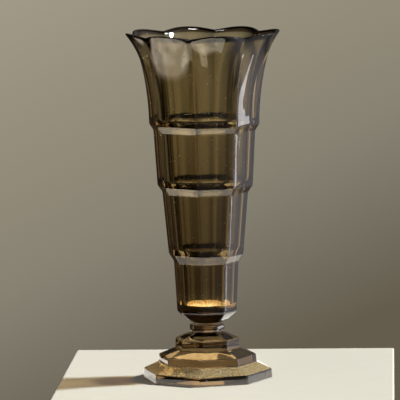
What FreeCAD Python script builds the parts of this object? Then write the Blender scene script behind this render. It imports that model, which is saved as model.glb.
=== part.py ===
"""Trumpet vase of pressed glass: an eight-sided stepped bowl with a scalloped mouth, a collar and a stepped foot.

Millimetres, +Z up, origin at the middle of the surface that the foot stands on.
Radii of eight-sided sections are measured over the corners. Flats of the foot face +X and +Y.
"""

import FreeCAD, Part
import math
import os

from FreeCAD import Placement, Rotation, Vector
from Sketcher import Constraint

SIDES = 8
FULL_TURN = 360.0
STEP_ANGLE = FULL_TURN / SIDES
# Distance from the axis to the middle of a straight side, as a share of the radius over the corners
SIDE_SHARE = math.cos(math.radians(STEP_ANGLE / 2))
SIDE_MIDDLE_SHARE = 0.5
# How near an edge lies to the level it is looked for at, as a share of its rounding
NEAR_SHARE = 0.3

# Points of a sketch's shapes, and the sketch's own axes
START, END, CENTRE = range(1, 4)
X_AXIS, Y_AXIS = -1, -2
ORIGIN = (-1, 1)

# Driving dimensions: name, value, what it is
SIZES = [
    ("base_radius", 56.3, "foot, lowest step: radius at the bottom"),
    ("base_wall", 8.0, "foot, lowest step: height of its wall"),
    ("base_tread_rise", 5.7, "foot, lowest step: how far its sloping tread climbs"),
    ("middle_radius", 42.9, "foot, middle step: radius at the bottom"),
    ("middle_wall", 6.8, "foot, middle step: height of its wall"),
    ("middle_tread_rise", 5.4, "foot, middle step: how far its tread climbs"),
    ("upper_radius", 28.3, "foot, upper step: radius at the bottom"),
    ("upper_wall", 8.6, "foot, upper step: height of its wall"),
    ("upper_tread_rise", 6.0, "foot, upper step: how far its tread climbs"),
    ("foot_draft", 0.5, "foot: how far each wall leans in over its height"),
    ("foot_edge", 0.6, "foot: rounding of the steps' upper edges"),
    ("seat_radius", 15.0, "foot: radius of the flat under the collar"),
    ("recess_radius", 40.0, "foot: radius of the shallow hollow underneath"),
    ("recess_depth", 1.2, "foot: depth of that hollow"),
    ("collar_radius", 15.4, "collar: radius"),
    ("collar_height", 6.0, "collar: height"),
    ("collar_edge", 1.0, "collar: rounding of its edges"),
    ("bowl_twist", 2.5, "degrees that the bowl stands round from the foot, clockwise from above"),
    ("tip_radius", 14.0, "bowl: radius of the cone's flat tip"),
    ("cone_height", 10.2, "bowl: height of the solid cone"),
    ("cone_radius", 25.2, "bowl: radius at the cone's top"),
    ("cup_lip", 1.3, "bowl, lowest stage: height of the bevel over the cone"),
    ("cup_radius", 26.2, "bowl, lowest stage: radius at the bottom"),
    ("cup_height", 43.2, "bowl, lowest stage: height of its wall"),
    ("cup_spread", 2.2, "bowl, lowest stage: how far the radius grows over that wall"),
    ("lower_radius", 32.8, "bowl, lower stage: radius at the bottom"),
    ("lower_shoulder", 6.7, "bowl, lower stage: height of the slope under it"),
    ("lower_height", 53.4, "bowl, lower stage: height of its wall"),
    ("lower_spread", 4.8, "bowl, lower stage: how far the radius grows"),
    ("center_radius", 41.8, "bowl, centre stage: radius at the bottom"),
    ("center_shoulder", 5.8, "bowl, centre stage: height of the slope under it"),
    ("center_height", 47.6, "bowl, centre stage: height of its wall"),
    ("center_spread", 2.8, "bowl, centre stage: how far the radius grows"),
    ("trumpet_radius", 48.3, "bowl, trumpet stage: radius at the bottom"),
    ("trumpet_shoulder", 5.6, "bowl, trumpet stage: height of the slope under it"),
    ("trumpet_height", 76.7, "bowl, trumpet stage: height from there to the rim's notches"),
    ("flare", 13.2, "bowl, trumpet stage: how far the corners spread up to the notches"),
    ("scallop_bulge", 9.2, "rim: how far each scallop bows out past the straight side"),
    ("scallop_rise", 2.8, "rim: how far each scallop stands over the notches"),
    ("wall", 4.1, "bowl: thickness of the glass at the middle of a side"),
    ("rim_wall", 3.0, "rim: thickness of the glass at a scallop's middle"),
    ("notch_wall", 3.6, "rim: thickness of the glass at a notch"),
    ("step_edge", 1.2, "bowl: rounding of each stage's lower edge"),
    ("ledge_lift", 5.2, "cavity: how far its ledges lie above the outer ones"),
    ("floor_glass", 13.0, "cavity: glass between its floor and the cone's tip"),
    ("floor_edge", 5.0, "cavity: rounding round its floor"),
    ("cavity_land", 0.3, "cavity: width of the flat land where the scalloped part starts"),
    ("cavity_lobe", 0.4, "cavity: how far its trumpet stage is from round at the bottom"),
    ("overrun", 6.0, "how far cutting shapes run past what they cut"),
]

# Levels of the trumpet stage's sections, as shares of its height up to the notches
FLARE_START_SHARE = 0.2
FLAT_SIDED_SHARES = [0.3, 0.42]
SCALLOPED_SHARES = [0.56, 0.7, 0.82, 0.92, 1.0]
CAVITY_SHARES = [0.25, 0.45, 0.62, 0.78, 0.9, 1.0]
# The sections run on past the scallops' crowns, so that the rim's cut has glass to cut
TOP_SHARE = 1.08
# How fast the corners spread and the scallops bow out, as powers of the share of the height
FLARE_POWER = 2
SCALLOP_POWER = 4

# Levels and turns that more than one piece takes
FOOT_HEIGHT = "base_wall + base_tread_rise + middle_wall + middle_tread_rise + upper_wall + upper_tread_rise"
BOWL_TURN = "0 - bowl_twist"

doc = FreeCAD.newDocument("trumpet_vase")


def put_sizes_in_sheet():
    """Spreadsheet with one row for each driving dimension."""
    table = doc.addObject("Spreadsheet::Sheet", "sizes")
    for row, (name, value, note) in enumerate(SIZES, start=1):
        table.set(f"A{row}", name)
        table.set(f"B{row}", str(value))
        table.set(f"C{row}", note)
        table.setAlias(f"B{row}", name)
    doc.recompute()
    return table


def expand(text):
    """Expression in which every driving dimension is named with its sheet."""
    names = {name for name, _, _ in SIZES}
    words = text.replace("(", " ( ").replace(")", " ) ").split()
    return " ".join("sizes." + word if word in names else word for word in words)


def value_of(text):
    """Number that an expression of driving dimensions gives now."""
    return float(sheet.evalExpression(expand(text)))


def new_body(label, turn, height):
    """Body with its own place in the vase: turned about the axis and lifted, both by expressions."""
    body = doc.addObject("PartDesign::Body", label)
    body.Label = label
    body.Placement.Rotation = Rotation(Vector(0, 0, 1), value_of(turn))
    body.setExpression("Placement.Rotation.Angle", expand(turn))
    body.setExpression("Placement.Base.z", expand(height))
    return body


def new_sketch(body, name, role, offset="0", turn=0.0):
    """Empty sketch on one of the body's origin planes, moved off it by an expression."""
    sketch = body.newObject("Sketcher::SketchObject", name)
    plane = next(item for item in body.Origin.OriginFeatures if item.Role == role)
    sketch.AttachmentSupport = [(plane, "")]
    sketch.MapMode = "FlatFace"
    sketch.AttachmentOffset = Placement(Vector(0, 0, 0), Rotation(Vector(0, 0, 1), turn))
    sketch.setExpression("AttachmentOffset.Base.z", expand(offset))
    return sketch


def bind(sketch, constraint, name, expression):
    """Adds a dimension to the sketch and binds it to the sheet."""
    index = sketch.addConstraint(constraint)
    sketch.renameConstraint(index, name)
    sketch.setExpression("Constraints." + name, expand(expression))


def join(sketch, *pairs):
    """Makes points of the sketch coincide, each given as (shape, point)."""
    for (shape, point), (other_shape, other_point) in pairs:
        sketch.addConstraint(Constraint("Coincident", shape, point, other_shape, other_point))


def guide_circle(sketch, name, radius):
    """Construction circle round the origin, bound to the sheet."""
    start = value_of(radius)
    circle = sketch.addGeometry(Part.Circle(Vector(0, 0, 0), Vector(0, 0, 1), start), True)
    join(sketch, ((circle, CENTRE), ORIGIN))
    bind(sketch, Constraint("Radius", circle, start), name, radius)
    return circle


def eight_sided(body, name, level, corner_radius, crown_radius=None):
    """Level section with its corners on one circle: eight lines, or eight arcs that touch a crown circle."""
    sketch = new_sketch(body, name, "XY_Plane", level, STEP_ANGLE / 2)
    radius = value_of(corner_radius)
    for side in range(SIDES):
        first = radius * unit(side * STEP_ANGLE)
        last = radius * unit((side + 1) * STEP_ANGLE)
        if crown_radius is None:
            sketch.addGeometry(Part.LineSegment(first, last), False)
        else:
            crown = value_of(crown_radius) * unit((side + SIDE_MIDDLE_SHARE) * STEP_ANGLE)
            sketch.addGeometry(Part.Arc(first, crown, last), False)
    corner_circle = guide_circle(sketch, "corner_radius", corner_radius)
    for side in range(SIDES):
        join(sketch, ((side, END), ((side + 1) % SIDES, START)))
        sketch.addConstraint(Constraint("PointOnObject", side, START, corner_circle))
    for side in range(1, SIDES):
        sketch.addConstraint(Constraint("Equal", 0, side))
    sketch.addConstraint(Constraint("PointOnObject", 0, START, X_AXIS))
    if crown_radius is not None:
        crown_circle = guide_circle(sketch, "crown_radius", crown_radius)
        for side in range(SIDES):
            sketch.addConstraint(Constraint("Tangent", side, crown_circle))
    return sketch


def unit(degrees):
    """Unit vector at an angle from +X."""
    return Vector(math.cos(math.radians(degrees)), math.sin(math.radians(degrees)), 0)


def outline(body, name, corners):
    """Closed outline in the XZ plane, each corner held at a distance out and up from the origin."""
    sketch = new_sketch(body, name, "XZ_Plane")
    places = [Vector(value_of(out), value_of(up), 0) for out, up in corners]
    count = len(places)
    for index in range(count):
        sketch.addGeometry(Part.LineSegment(places[index], places[(index + 1) % count]), False)
    for index, (out, up) in enumerate(corners):
        join(sketch, ((index, END), ((index + 1) % count, START)))
        if out == "0":
            sketch.addConstraint(Constraint("PointOnObject", index, START, Y_AXIS))
        else:
            across = Constraint("DistanceX", *ORIGIN, index, START, places[index].x)
            bind(sketch, across, f"out_{index + 1}", out)
        if up == "0":
            sketch.addConstraint(Constraint("PointOnObject", index, START, X_AXIS))
        else:
            rise = Constraint("DistanceY", *ORIGIN, index, START, places[index].y)
            bind(sketch, rise, f"up_{index + 1}", up)
    return sketch


def loft(body, kind, name, sections, ruled):
    """Loft through sketches, which adds to the body or cuts from it."""
    feature = body.newObject("PartDesign::" + kind, name)
    feature.Profile = sections[0]
    feature.Sections = [(section, [""]) for section in sections[1:]]
    feature.Ruled = ruled
    return feature


def turned_cut(body, name, sketch):
    """Cut that turns a sketch round the body's axis."""
    groove = body.newObject("PartDesign::Groove", name)
    groove.Profile = sketch
    groove.ReferenceAxis = (sketch, ["V_Axis"])
    groove.Angle = FULL_TURN
    return groove


def repeat_round(body, name, feature):
    """Eight copies of a cut round the body's axis."""
    pattern = body.newObject("PartDesign::PolarPattern", name)
    pattern.Originals = [feature]
    pattern.Axis = (feature.Profile[0], ["V_Axis"])
    pattern.Angle = FULL_TURN
    pattern.Occurrences = SIDES
    body.Tip = pattern
    return pattern


def cut_flats(body, rings):
    """Round blank whose eight flats are cut by one pocket, repeated; rings give (level, radius over corners)."""
    widest = " + ".join(["overrun", max((radius for _, radius in rings), key=value_of)])
    blank = body.newObject("PartDesign::Pad", "blank")
    disc = new_sketch(body, "blank_outline", "XY_Plane")
    circle = disc.addGeometry(Part.Circle(Vector(0, 0, 0), Vector(0, 0, 1), value_of(widest)), False)
    join(disc, ((circle, CENTRE), ORIGIN))
    bind(disc, Constraint("Radius", circle, value_of(widest)), "blank_radius", widest)
    blank.Profile = disc
    blank.setExpression("Length", expand(rings[-1][0]))
    corners = [(f"( {radius} ) * {SIDE_SHARE}", level) for level, radius in rings]
    outside = f"{widest} + overrun"
    corners += [(outside, rings[-1][0]), (outside, rings[0][0])]
    pocket = body.newObject("PartDesign::Pocket", "flat")
    pocket.Profile = outline(body, "flat_outline", corners)
    pocket.SideType = "Symmetric"
    pocket.setExpression("Length", expand(f"2 * ( {outside} )"))
    repeat_round(body, "flats", pocket)


def round_edges(body, name, radius, wanted):
    """Fillet on those edges of the body so far that the test picks."""
    doc.recompute()
    base = body.Tip
    edges = [f"Edge{i}" for i, edge in enumerate(base.Shape.Edges, start=1) if wanted(edge.BoundBox)]
    if not edges:
        raise RuntimeError(f"no edge to round for {name}")
    fillet = body.newObject("PartDesign::Fillet", name)
    fillet.Base = (base, edges)
    fillet.setExpression("Radius", expand(radius))
    return fillet


def lies_at(levels, edge_size):
    """Test for edges that lie level at one of the heights."""
    heights = [value_of(level) for level in levels]
    near = value_of(edge_size) * NEAR_SHARE
    return lambda box: any(abs(box.ZMin - z) < near and abs(box.ZMax - z) < near for z in heights)


def make_foot():
    """Solid foot: three eight-sided steps with sloping treads, and a shallow hollow underneath."""
    body = new_body("stepped_foot", "0", "0")
    middle_level = "base_wall + base_tread_rise"
    upper_level = middle_level + " + middle_wall + middle_tread_rise"
    rings = [
        ("0", "base_radius"),
        ("base_wall", "base_radius - foot_draft"),
        (middle_level, "middle_radius"),
        (middle_level + " + middle_wall", "middle_radius - foot_draft"),
        (upper_level, "upper_radius"),
        (upper_level + " + upper_wall", "upper_radius - foot_draft"),
        (FOOT_HEIGHT, "seat_radius"),
    ]
    cut_flats(body, rings)
    tops = [level for level, _ in rings[1:6:2]]
    round_edges(body, "foot_edges", "foot_edge", lies_at(tops, "foot_edge"))
    turned_cut(body, "hollow", hollow_outline(body))
    return body


def hollow_outline(body):
    """Outline of the hollow: an arc from its crown on the axis down to its edge, closed along axis and bottom."""
    sketch = new_sketch(body, "hollow_outline", "XZ_Plane")
    width = value_of("recess_radius")
    depth = value_of("recess_depth")
    ball_radius = (width**2 + depth**2) / (2 * depth)
    ball = Part.Circle(Vector(0, depth - ball_radius, 0), Vector(0, 0, 1), ball_radius)
    edge_angle = math.asin(width / ball_radius)
    sketch.addGeometry(Part.ArcOfCircle(ball, math.pi / 2 - edge_angle, math.pi / 2), False)
    sketch.addGeometry(Part.LineSegment(Vector(0, depth, 0), Vector(0, 0, 0)), False)
    sketch.addGeometry(Part.LineSegment(Vector(0, 0, 0), Vector(width, 0, 0)), False)
    join(sketch, ((0, END), (1, START)), ((1, END), (2, START)), ((2, END), (0, START)), ((1, END), ORIGIN))
    sketch.addConstraint(Constraint("PointOnObject", 0, CENTRE, Y_AXIS))
    sketch.addConstraint(Constraint("Vertical", 1))
    sketch.addConstraint(Constraint("Horizontal", 2))
    bind(sketch, Constraint("DistanceY", 1, END, 1, START, depth), "depth", "recess_depth")
    bind(sketch, Constraint("DistanceX", 2, START, 2, END, width), "width", "recess_radius")
    return sketch


def make_collar():
    """Short eight-sided collar with rounded edges, in line with the bowl's corners."""
    body = new_body("neck_collar", BOWL_TURN, FOOT_HEIGHT)
    pad = body.newObject("PartDesign::Pad", "collar_block")
    pad.Profile = eight_sided(body, "collar_outline", "0", "collar_radius")
    pad.setExpression("Length", expand("collar_height"))
    round_edges(body, "collar_edges", "collar_edge", lies_at(["0", "collar_height"], "collar_edge"))
    return body


def make_bowl():
    """Hollow bowl: cone and flat-sided stages, the flare above them, then the cavity and the rim."""
    body = new_body("trumpet_bowl", BOWL_TURN, FOOT_HEIGHT + " + collar_height")
    cup_level = "cone_height + cup_lip"
    lower_level = cup_level + " + cup_height + lower_shoulder"
    center_level = lower_level + " + lower_height + center_shoulder"
    trumpet_level = center_level + " + center_height + trumpet_shoulder"
    rings = [
        ("0", "tip_radius"),
        ("cone_height", "cone_radius"),
        (cup_level, "cup_radius"),
        (cup_level + " + cup_height", "cup_radius + cup_spread"),
        (lower_level, "lower_radius"),
        (lower_level + " + lower_height", "lower_radius + lower_spread"),
        (center_level, "center_radius"),
        (center_level + " + center_height", "center_radius + center_spread"),
        (trumpet_level, "trumpet_radius"),
        (flare_level(trumpet_level, FLARE_START_SHARE), outer_radii(FLARE_START_SHARE)[0]),
    ]
    cut_flats(body, rings)
    steps = [level for level, _ in rings[4:9:2]]
    round_edges(body, "step_edges", "step_edge", lies_at(steps, "step_edge"))

    sections = []
    for share in [FLARE_START_SHARE] + FLAT_SIDED_SHARES:
        level = flare_level(trumpet_level, share)
        sections.append(eight_sided(body, f"flare_section_{len(sections) + 1}", level, outer_radii(share)[0]))
    for share in SCALLOPED_SHARES + [TOP_SHARE]:
        level = flare_level(trumpet_level, share)
        sections.append(eight_sided(body, f"flare_section_{len(sections) + 1}", level, *outer_radii(share)))
    loft(body, "AdditiveLoft", "flare", sections, False)

    cut_round_cavity(body, rings)
    cut_flared_cavity(body, trumpet_level)
    cut_scalloped_rim(body, trumpet_level)
    return body


def flare_level(trumpet_level, share):
    """Height at a share of the trumpet stage."""
    return f"{trumpet_level} + trumpet_height * {share}"


def outer_radii(share):
    """Corner and crown radius of the flare's outside at a share of its height."""
    corner = f"trumpet_radius + flare * {share ** FLARE_POWER}"
    return corner, f"( {corner} ) * {SIDE_SHARE} + scallop_bulge * {share ** SCALLOP_POWER}"


def inner_radii(share):
    """Corner and crown radius of the flare's inside: all but round at the bottom, scalloped at the rim."""
    rim_corner, rim_crown = outer_radii(1.0)
    rim_gap = f"( {rim_crown} - rim_wall ) - ( {rim_corner} - notch_wall )"
    crown = f"{outer_radii(share)[1]} - wall + ( wall - rim_wall ) * {share}"
    return f"{crown} - cavity_lobe - ( {rim_gap} - cavity_lobe ) * {share ** SCALLOP_POWER}", crown


def ledge_share():
    """Where the trumpet stage's cavity starts, as a share of the stage's height."""
    return value_of("ledge_lift / trumpet_height")


def cut_round_cavity(body, rings):
    """Turned cavity of the flat-sided stages, with a sloping ledge above each outer one."""
    profile = [("0", "floor_glass"), (f"cup_radius * {SIDE_SHARE} - wall", "floor_glass")]
    for level, radius in rings[3:8]:
        profile.append((f"( {radius} ) * {SIDE_SHARE} - wall", level + " + ledge_lift"))
    top_level = rings[8][0] + " + ledge_lift"
    profile.append((f"{inner_radii(ledge_share())[0]} - cavity_land", top_level))
    profile.append(("0", top_level))
    turned_cut(body, "round_cavity", outline(body, "cavity_outline", profile))
    floor = lies_at(["floor_glass"], "floor_edge")
    round_edges(body, "floor_edge", "floor_edge", lambda box: floor(box) and box.XLength > value_of("tip_radius"))


def cut_flared_cavity(body, trumpet_level):
    """Cavity of the trumpet stage, which turns from round to scalloped towards the mouth."""
    sections = []
    for share in [ledge_share()] + CAVITY_SHARES + [TOP_SHARE]:
        level = flare_level(trumpet_level, share)
        sections.append(eight_sided(body, f"cavity_section_{len(sections) + 1}", level, *inner_radii(share)))
    loft(body, "SubtractiveLoft", "flared_cavity", sections, False)


def cut_scalloped_rim(body, trumpet_level):
    """Rim that stands highest over each scallop: one pocket outward from the axis, repeated round it."""
    notch_level = f"{trumpet_level} + trumpet_height"
    pocket = body.newObject("PartDesign::Pocket", "scallop")
    pocket.Profile = rim_cut_outline(body, notch_level)
    pocket.Reversed = True
    pocket.setExpression("Length", expand(f"{outer_radii(TOP_SHARE)[1]} + overrun"))
    repeat_round(body, "scallops", pocket)


def rim_cut_outline(body, notch_level):
    """Upright outline: an arc over one scallop from notch to notch, with sides that lean away above it."""
    sketch = new_sketch(body, "rim_cut_outline", "YZ_Plane")
    half = f"( {outer_radii(1.0)[0]} ) * {math.sin(math.radians(STEP_ANGLE / 2))}"
    wide = f"{half} + scallop_rise + overrun"
    crown_level = f"{notch_level} + scallop_rise"
    top_level = f"{notch_level} + scallop_rise + overrun"
    side, low, crown, reach, top = [value_of(text) for text in (half, notch_level, crown_level, wide, top_level)]
    sketch.addGeometry(Part.Arc(Vector(side, low, 0), Vector(0, crown, 0), Vector(-side, low, 0)), False)
    sketch.addGeometry(Part.LineSegment(Vector(-side, low, 0), Vector(-reach, top, 0)), False)
    sketch.addGeometry(Part.LineSegment(Vector(-reach, top, 0), Vector(reach, top, 0)), False)
    sketch.addGeometry(Part.LineSegment(Vector(reach, top, 0), Vector(side, low, 0)), False)
    join(sketch, ((0, END), (1, START)), ((1, END), (2, START)), ((2, END), (3, START)), ((3, END), (0, START)))
    crown_guide = sketch.addGeometry(Part.LineSegment(Vector(-side, crown, 0), Vector(side, crown, 0)), True)
    for left, right in (((1, START), (3, END)), ((1, END), (3, START)), ((crown_guide, START), (crown_guide, END))):
        sketch.addConstraint(Constraint("Symmetric", *left, *right, Y_AXIS))
    sketch.addConstraint(Constraint("Tangent", 0, crown_guide))
    bind(sketch, Constraint("DistanceX", *ORIGIN, 3, END, side), "half_width", half)
    bind(sketch, Constraint("DistanceX", *ORIGIN, crown_guide, END, side), "guide_width", half)
    bind(sketch, Constraint("DistanceX", *ORIGIN, 3, START, reach), "top_half_width", wide)
    bind(sketch, Constraint("DistanceY", *ORIGIN, 3, END, low), "notch", notch_level)
    bind(sketch, Constraint("DistanceY", *ORIGIN, crown_guide, START, crown), "crown", crown_level)
    bind(sketch, Constraint("DistanceY", *ORIGIN, 2, END, top), "top", top_level)
    return sketch


def check_document(bodies):
    """Stops if any object failed or any piece isn't one sound solid."""
    for item in doc.Objects:
        if "Invalid" in item.State or "Error" in item.State:
            raise RuntimeError(f"{item.Name} failed: {item.getStatusString()}")
    for body in bodies:
        shape = body.Shape
        if shape.isNull() or not shape.isValid() or len(shape.Solids) != 1:
            raise RuntimeError(f"{body.Label} is not one valid solid")
        box = shape.optimalBoundingBox()
        print(f"{body.Label}: {shape.Volume:.0f} mm3, {box.XLength:.1f} x {box.YLength:.1f} x {box.ZLength:.1f} mm")


def write_parts(bodies):
    """One STEP file for each piece."""
    os.makedirs("parts", exist_ok=True)
    for body in bodies:
        body.Shape.exportStep(os.path.join("parts", body.Label + ".step"))


sheet = put_sizes_in_sheet()
pieces = [make_foot(), make_collar(), make_bowl()]
doc.recompute()
check_document(pieces)
write_parts(pieces)
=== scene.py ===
# %% [markdown]
# # A pressed-glass trumpet vase
#
# The vase is smoky brown glass, pressed in a mould: a stepped foot, a short collar and a tall bowl
# with eight sides. The bowl widens step by step and ends in a flared mouth with eight scallops.
# Its inside is round, because the plunger that presses it is turned on a lathe.
#
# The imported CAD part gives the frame. Each piece is modelled again here with finer, softer surfaces,
# because light that goes through glass shows every flat spot and every hard edge of a mesh.

import math

import bmesh
import bpy
from mathutils import Euler, Matrix, Vector


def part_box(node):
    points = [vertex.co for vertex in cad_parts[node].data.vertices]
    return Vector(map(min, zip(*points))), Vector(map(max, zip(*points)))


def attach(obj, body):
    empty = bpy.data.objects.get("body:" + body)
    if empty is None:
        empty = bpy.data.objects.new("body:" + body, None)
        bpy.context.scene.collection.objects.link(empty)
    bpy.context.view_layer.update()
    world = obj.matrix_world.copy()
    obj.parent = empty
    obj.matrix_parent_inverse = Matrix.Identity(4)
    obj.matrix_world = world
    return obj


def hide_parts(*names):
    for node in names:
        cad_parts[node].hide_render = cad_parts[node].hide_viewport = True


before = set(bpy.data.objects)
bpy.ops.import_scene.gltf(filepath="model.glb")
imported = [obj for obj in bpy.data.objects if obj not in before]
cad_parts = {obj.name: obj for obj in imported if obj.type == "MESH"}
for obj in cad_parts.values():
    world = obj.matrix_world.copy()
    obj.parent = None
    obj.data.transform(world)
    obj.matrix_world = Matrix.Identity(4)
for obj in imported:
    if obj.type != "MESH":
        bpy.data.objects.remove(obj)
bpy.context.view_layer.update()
MM = 0.001

# %% [markdown]
# The pieces stand on each other, so the levels where they meet are read from the CAD nodes. All
# other sizes are the vase's own, in millimetres. The radius of an eight-sided section is measured
# over its corners.

# %% Levels from the frame
FOOT_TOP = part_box("stepped_foot")[1].z / MM
TIP_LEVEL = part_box("neck_collar")[1].z / MM
RIM_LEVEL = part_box("trumpet_bowl")[1].z / MM
SIDES = 8
STEP_ANGLE = 2 * math.pi / SIDES
SIDE_SHARE = math.cos(STEP_ANGLE / 2)
BOWL_TURN = math.radians(-2.5)
JOIN = 0.03
print(f"foot up to {FOOT_TOP:.1f}, bowl from {TIP_LEVEL:.1f} to {RIM_LEVEL:.1f}")

# %% [markdown]
# ## Rings
#
# Every piece grows as it would by hand: one eight-sided face is extruded again and again, and after
# each extrusion its ring is scaled to the next radius. A loft would need a curve for each section,
# and a lathe can't make flat sides, so rings are the plainest way.
#
# To bow the sides out into scallops, the rest of the mesh is hidden and the middle of each side is
# pulled with proportional editing. Its Inverse Square falloff is a parabola, which is as good as an
# arc here. A round ring is bowed nearly round and then finished by To Sphere.

# %% Ring helpers
POINTS_PER_SIDE = 8
ANGLE_SLACK = 0.02
LEVEL_SLACK = 0.02


def start_piece(name, level, corner, turn):
    """Flat eight-sided face with extra points along its sides, left open in edit mode."""
    bpy.ops.object.select_all(action="DESELECT")
    place = {"location": (0, 0, level * MM), "rotation": (0, 0, STEP_ANGLE / 2 + turn)}
    bpy.ops.mesh.primitive_circle_add(vertices=SIDES, radius=corner * MM, fill_type="NGON", **place)
    piece = bpy.context.object
    piece.name = name
    bpy.ops.object.transform_apply(location=True, rotation=True, scale=True)
    bpy.ops.object.mode_set(mode="EDIT")
    bpy.ops.mesh.select_mode(type="VERT")
    bpy.ops.mesh.select_all(action="SELECT")
    bpy.ops.mesh.subdivide(number_cuts=POINTS_PER_SIDE - 1)
    bpy.ops.mesh.select_all(action="SELECT")
    return piece


def half_steps(point, turn):
    """Angle of a point round the axis in half sides: even at a side's middle, odd at a corner."""
    return (math.atan2(point.co.y, point.co.x) - turn) / (STEP_ANGLE / 2)


def at_corner(point, turn):
    """Whether a point lies at one of the eight corner angles."""
    steps = half_steps(point, turn)
    return abs(steps - round(steps)) < ANGLE_SLACK and round(steps) % 2 == 1


def at_middle(point, turn):
    """Whether a point lies in the middle of a side."""
    steps = half_steps(point, turn)
    return abs(steps - round(steps)) < ANGLE_SLACK and round(steps) % 2 == 0


def ring_radii(piece, turn):
    """Corner radius and side radius of the selected ring as it is now."""
    ring = [point for point in bmesh.from_edit_mesh(piece.data).verts if point.select]
    corners = [point.co.xy.length / MM for point in ring if at_corner(point, turn)]
    middles = [point.co.xy.length / MM for point in ring if at_middle(point, turn)]
    return sum(corners) / len(corners), sum(middles) / len(middles)


def pull_middles(piece, turn, outward, upward, reach):
    """Bows the selected ring's sides by pulling their middles, with everything else hidden."""
    bpy.ops.mesh.hide(unselected=True)
    for side in range(SIDES):
        angle = side * STEP_ANGLE + turn
        direction = Vector((math.cos(angle), math.sin(angle), 0))
        shown = [point for point in bmesh.from_edit_mesh(piece.data).verts if not point.hide]
        middle = max(shown, key=lambda point: point.co.xy.normalized().dot(direction.xy))
        bpy.ops.mesh.select_all(action="DESELECT")
        middle.select = True
        bmesh.update_edit_mesh(piece.data)
        bpy.ops.transform.translate(
            value=direction * outward * MM + Vector((0, 0, upward * MM)),
            use_proportional_edit=True,
            proportional_edit_falloff="INVERSE_SQUARE",
            proportional_size=reach * MM,
        )
    bpy.ops.mesh.select_all(action="SELECT")
    bpy.ops.mesh.reveal(select=False)


def add_ring(piece, turn, level, corner, side=None, rise=0.0):
    """Extrudes the selected face to a level and shapes its ring, with flat or bowed sides."""
    bpy.ops.mesh.extrude_region_move(TRANSFORM_OT_translate={"value": (0, 0, 0)})
    old_corner, old_side = ring_radii(piece, turn)
    growth = corner / old_corner
    bpy.ops.transform.resize(value=(growth, growth, 0), center_override=(0, 0, level * MM))
    wanted = corner * SIDE_SHARE if side is None else side
    pull = wanted - old_side * growth
    if abs(pull) > LEVEL_SLACK or rise:
        pull_middles(piece, turn, pull, rise, corner * math.sin(STEP_ANGLE / 2))
    if side == corner and not rise:
        bpy.ops.transform.tosphere(value=1.0)


def add_rings(piece, turn, rings):
    """Several rings, each (level, corner radius) or (level, corner radius, side radius, rise)."""
    for ring in rings:
        add_ring(piece, turn, *ring)


def round_rings(rings):
    """The same rings, given as (level, radius), made round."""
    return [(level, radius, radius) for level, radius in rings]


print("points in a ring:", SIDES * POINTS_PER_SIDE)

# %% [markdown]
# Hot glass rounds off in the mould, so no edge of the vase is sharp. Edges are picked by their place
# and bevelled with a few segments, and a Subdivision Surface makes the whole skin smooth. A wall that
# should stay flat between two edges gets a supporting ring near each of its ends.

# %% Rounding helpers
SUPPORT = 2.6


def walls(corners, support=SUPPORT):
    """Rings through (level, radius) corners, with two supporting rings in each tall wall between them."""
    rings = [corners[0]]
    for (low, low_radius), (high, high_radius) in zip(corners, corners[1:]):
        height = abs(high - low)
        if height > 3 * support:
            share = support / height
            for part in (share, 1 - share):
                rings.append((low + (high - low) * part, low_radius + (high_radius - low_radius) * part))
        rings.append((high, high_radius))
    return rings


def pick_edges(piece, wanted):
    """Selects the edges whose two ends pass the test."""
    bpy.ops.mesh.select_mode(type="EDGE")
    bpy.ops.mesh.select_all(action="DESELECT")
    for edge in bmesh.from_edit_mesh(piece.data).edges:
        if wanted(*edge.verts):
            edge.select = True
    bmesh.update_edit_mesh(piece.data)


def pick_face(piece, level):
    """Selects the points at one level and the face that they hold."""
    bpy.ops.mesh.select_mode(type="VERT")
    bpy.ops.mesh.select_all(action="DESELECT")
    for point in bmesh.from_edit_mesh(piece.data).verts:
        if abs(point.co.z / MM - level) < LEVEL_SLACK:
            point.select = True
    bmesh.from_edit_mesh(piece.data).select_flush(True)
    bmesh.update_edit_mesh(piece.data)


def pick_top(piece):
    """Selects the highest face."""
    bpy.ops.mesh.select_mode(type="FACE")
    bpy.ops.mesh.select_all(action="DESELECT")
    faces = bmesh.from_edit_mesh(piece.data).faces
    max(faces, key=lambda face: face.calc_center_median().z).select = True
    bmesh.update_edit_mesh(piece.data)
    bpy.ops.mesh.select_mode(type="VERT")


def at_level(levels):
    """Test for the edges that lie at one of some levels."""
    def wanted(one, other):
        ends = (one.co.z / MM, other.co.z / MM)
        return any(max(abs(end - level) for end in ends) < LEVEL_SLACK for level in levels)
    return wanted


def corner_or_level(turn, levels):
    """Test for the edges that run up the corners or lie at one of some levels."""
    def wanted(one, other):
        if abs(one.co.z - other.co.z) / MM > LEVEL_SLACK:
            return at_corner(one, turn) and at_corner(other, turn)
        return at_level(levels)(one, other)
    return wanted


def round_off(piece, wanted, width, segments=2):
    """Bevels the edges that the test picks."""
    pick_edges(piece, wanted)
    bpy.ops.mesh.bevel(offset=width * MM, segments=segments, profile=0.5, affect="EDGES", clamp_overlap=True)
    bpy.ops.mesh.select_mode(type="VERT")


def finish_piece(piece, node, levels):
    """Closes the edit, smooths the skin, and puts the piece in the place of its CAD node."""
    bpy.ops.mesh.select_all(action="SELECT")
    bpy.ops.mesh.normals_make_consistent(inside=False)
    bpy.ops.object.mode_set(mode="OBJECT")
    skin = piece.modifiers.new("skin", "SUBSURF")
    skin.levels = levels
    skin.render_levels = levels
    bpy.ops.object.modifier_apply(modifier=skin.name)
    bpy.ops.object.shade_smooth()
    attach(piece, "root")
    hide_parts(node)
    size = [round(value / MM, 1) for value in piece.dimensions]
    print(f"{piece.name}: {len(piece.data.polygons)} faces, {size} mm")


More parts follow.
